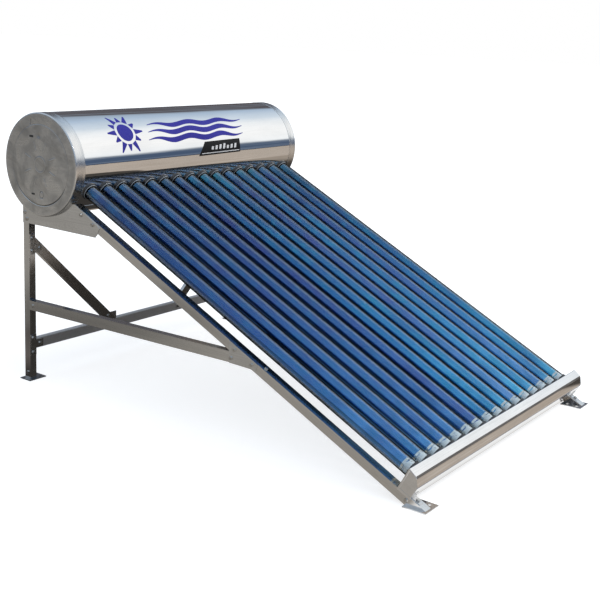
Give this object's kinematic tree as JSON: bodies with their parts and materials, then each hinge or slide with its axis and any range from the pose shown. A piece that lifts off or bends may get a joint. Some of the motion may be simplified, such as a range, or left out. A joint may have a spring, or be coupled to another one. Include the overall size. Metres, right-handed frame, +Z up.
{
  "type": "solar water heater",
  "caption": "Thermosyphon solar water heater: horizontal insulated tank on a sloping steel stand, with a row of evacuated glass tubes that lift out of their tail cups.",
  "frame": {"origin": "on the ground plane under the centre of the bounding box", "axes": "+X along the tank from the left to the right end cap, +Y to the back (tank side), +Z up"},
  "size_m": [1.425, 1.9957, 1.1115],
  "materials": {
    "mirror_shell": "mirror-polished stainless sheet",
    "cap_steel": "matt pressed steel",
    "tank_steel": "2B stainless",
    "tail_steel": "bright folded sheet",
    "frame_steel": "zinc-aluminium coated steel",
    "zinc_hardware": "zinc plated",
    "foam": "rigid polyurethane foam",
    "silicone": "silicone rubber",
    "black_rubber": "glossy EPDM",
    "cup_plastic": "moulded",
    "tube_glass": "borosilicate with a dark blue absorber coating"
  },
  "bodies": {
    "root": {"frame_bolts": "zinc_hardware", "frame_nuts": "zinc_hardware", "cold_inlet_stub": "tank_steel", "hot_outlet_stub": "tank_steel", "vent_stub": "tank_steel", "pipe_grommets": "black_rubber", "outer_shell": "mirror_shell", "inner_tank": "tank_steel", "tank_head_left": "tank_steel", "tank_head_right": "tank_steel", "foam_insulation": "foam", "end_cap_left": "cap_steel", "end_cap_right": "cap_steel", "tube_seals": "silicone", "dust_rings": "black_rubber", "tube_cups": "cup_plastic", "tail_stock": "tail_steel", "tail_cap_left": "tail_steel", "tail_cap_right": "tail_steel", "rail_left": "frame_steel", "rail_right": "frame_steel", "leg_left": "frame_steel", "leg_right": "frame_steel", "side_strut_left": "frame_steel", "side_strut_right": "frame_steel", "rear_brace_left": "frame_steel", "rear_brace_right": "frame_steel", "rear_crossbar": "frame_steel", "side_plate_left": "frame_steel", "side_plate_right": "frame_steel", "rail_gusset_left": "frame_steel", "rail_gusset_right": "frame_steel", "crossbar_clips": "frame_steel", "brace_clips": "frame_steel", "strut_cleats": "frame_steel", "foot_rear_left": "frame_steel", "foot_rear_right": "frame_steel", "foot_front_left": "frame_steel", "foot_front_right": "frame_steel", "tail_lugs": "frame_steel"},
    "tube_01": {"evacuated_tube_01": "tube_glass"},
    "tube_02": {"evacuated_tube_02": "tube_glass"},
    "tube_03": {"evacuated_tube_03": "tube_glass"},
    "tube_04": {"evacuated_tube_04": "tube_glass"},
    "tube_05": {"evacuated_tube_05": "tube_glass"},
    "tube_06": {"evacuated_tube_06": "tube_glass"},
    "tube_07": {"evacuated_tube_07": "tube_glass"},
    "tube_08": {"evacuated_tube_08": "tube_glass"},
    "tube_09": {"evacuated_tube_09": "tube_glass"},
    "tube_10": {"evacuated_tube_10": "tube_glass"},
    "tube_11": {"evacuated_tube_11": "tube_glass"},
    "tube_12": {"evacuated_tube_12": "tube_glass"},
    "tube_13": {"evacuated_tube_13": "tube_glass"},
    "tube_14": {"evacuated_tube_14": "tube_glass"},
    "tube_15": {"evacuated_tube_15": "tube_glass"},
    "tube_16": {"evacuated_tube_16": "tube_glass"}
  },
  "joints": [
    {"name": "tube_01_lift", "type": "slide", "parent": "root", "child": "tube_01", "axis": [0, 0.9018, 0.4321], "range_m": [0, 0.07]},
    {"name": "tube_02_lift", "type": "slide", "parent": "root", "child": "tube_02", "axis": [0, 0.9018, 0.4321], "range_m": [0, 0.07]},
    {"name": "tube_03_lift", "type": "slide", "parent": "root", "child": "tube_03", "axis": [0, 0.9018, 0.4321], "range_m": [0, 0.07]},
    {"name": "tube_04_lift", "type": "slide", "parent": "root", "child": "tube_04", "axis": [0, 0.9018, 0.4321], "range_m": [0, 0.07]},
    {"name": "tube_05_lift", "type": "slide", "parent": "root", "child": "tube_05", "axis": [0, 0.9018, 0.4321], "range_m": [0, 0.07]},
    {"name": "tube_06_lift", "type": "slide", "parent": "root", "child": "tube_06", "axis": [0, 0.9018, 0.4321], "range_m": [0, 0.07]},
    {"name": "tube_07_lift", "type": "slide", "parent": "root", "child": "tube_07", "axis": [0, 0.9018, 0.4321], "range_m": [0, 0.07]},
    {"name": "tube_08_lift", "type": "slide", "parent": "root", "child": "tube_08", "axis": [0, 0.9018, 0.4321], "range_m": [0, 0.07]},
    {"name": "tube_09_lift", "type": "slide", "parent": "root", "child": "tube_09", "axis": [0, 0.9018, 0.4321], "range_m": [0, 0.07]},
    {"name": "tube_10_lift", "type": "slide", "parent": "root", "child": "tube_10", "axis": [0, 0.9018, 0.4321], "range_m": [0, 0.07]},
    {"name": "tube_11_lift", "type": "slide", "parent": "root", "child": "tube_11", "axis": [0, 0.9018, 0.4321], "range_m": [0, 0.07]},
    {"name": "tube_12_lift", "type": "slide", "parent": "root", "child": "tube_12", "axis": [0, 0.9018, 0.4321], "range_m": [0, 0.07]},
    {"name": "tube_13_lift", "type": "slide", "parent": "root", "child": "tube_13", "axis": [0, 0.9018, 0.4321], "range_m": [0, 0.07]},
    {"name": "tube_14_lift", "type": "slide", "parent": "root", "child": "tube_14", "axis": [0, 0.9018, 0.4321], "range_m": [0, 0.07]},
    {"name": "tube_15_lift", "type": "slide", "parent": "root", "child": "tube_15", "axis": [0, 0.9018, 0.4321], "range_m": [0, 0.07]},
    {"name": "tube_16_lift", "type": "slide", "parent": "root", "child": "tube_16", "axis": [0, 0.9018, 0.4321], "range_m": [0, 0.07]}
  ]
}
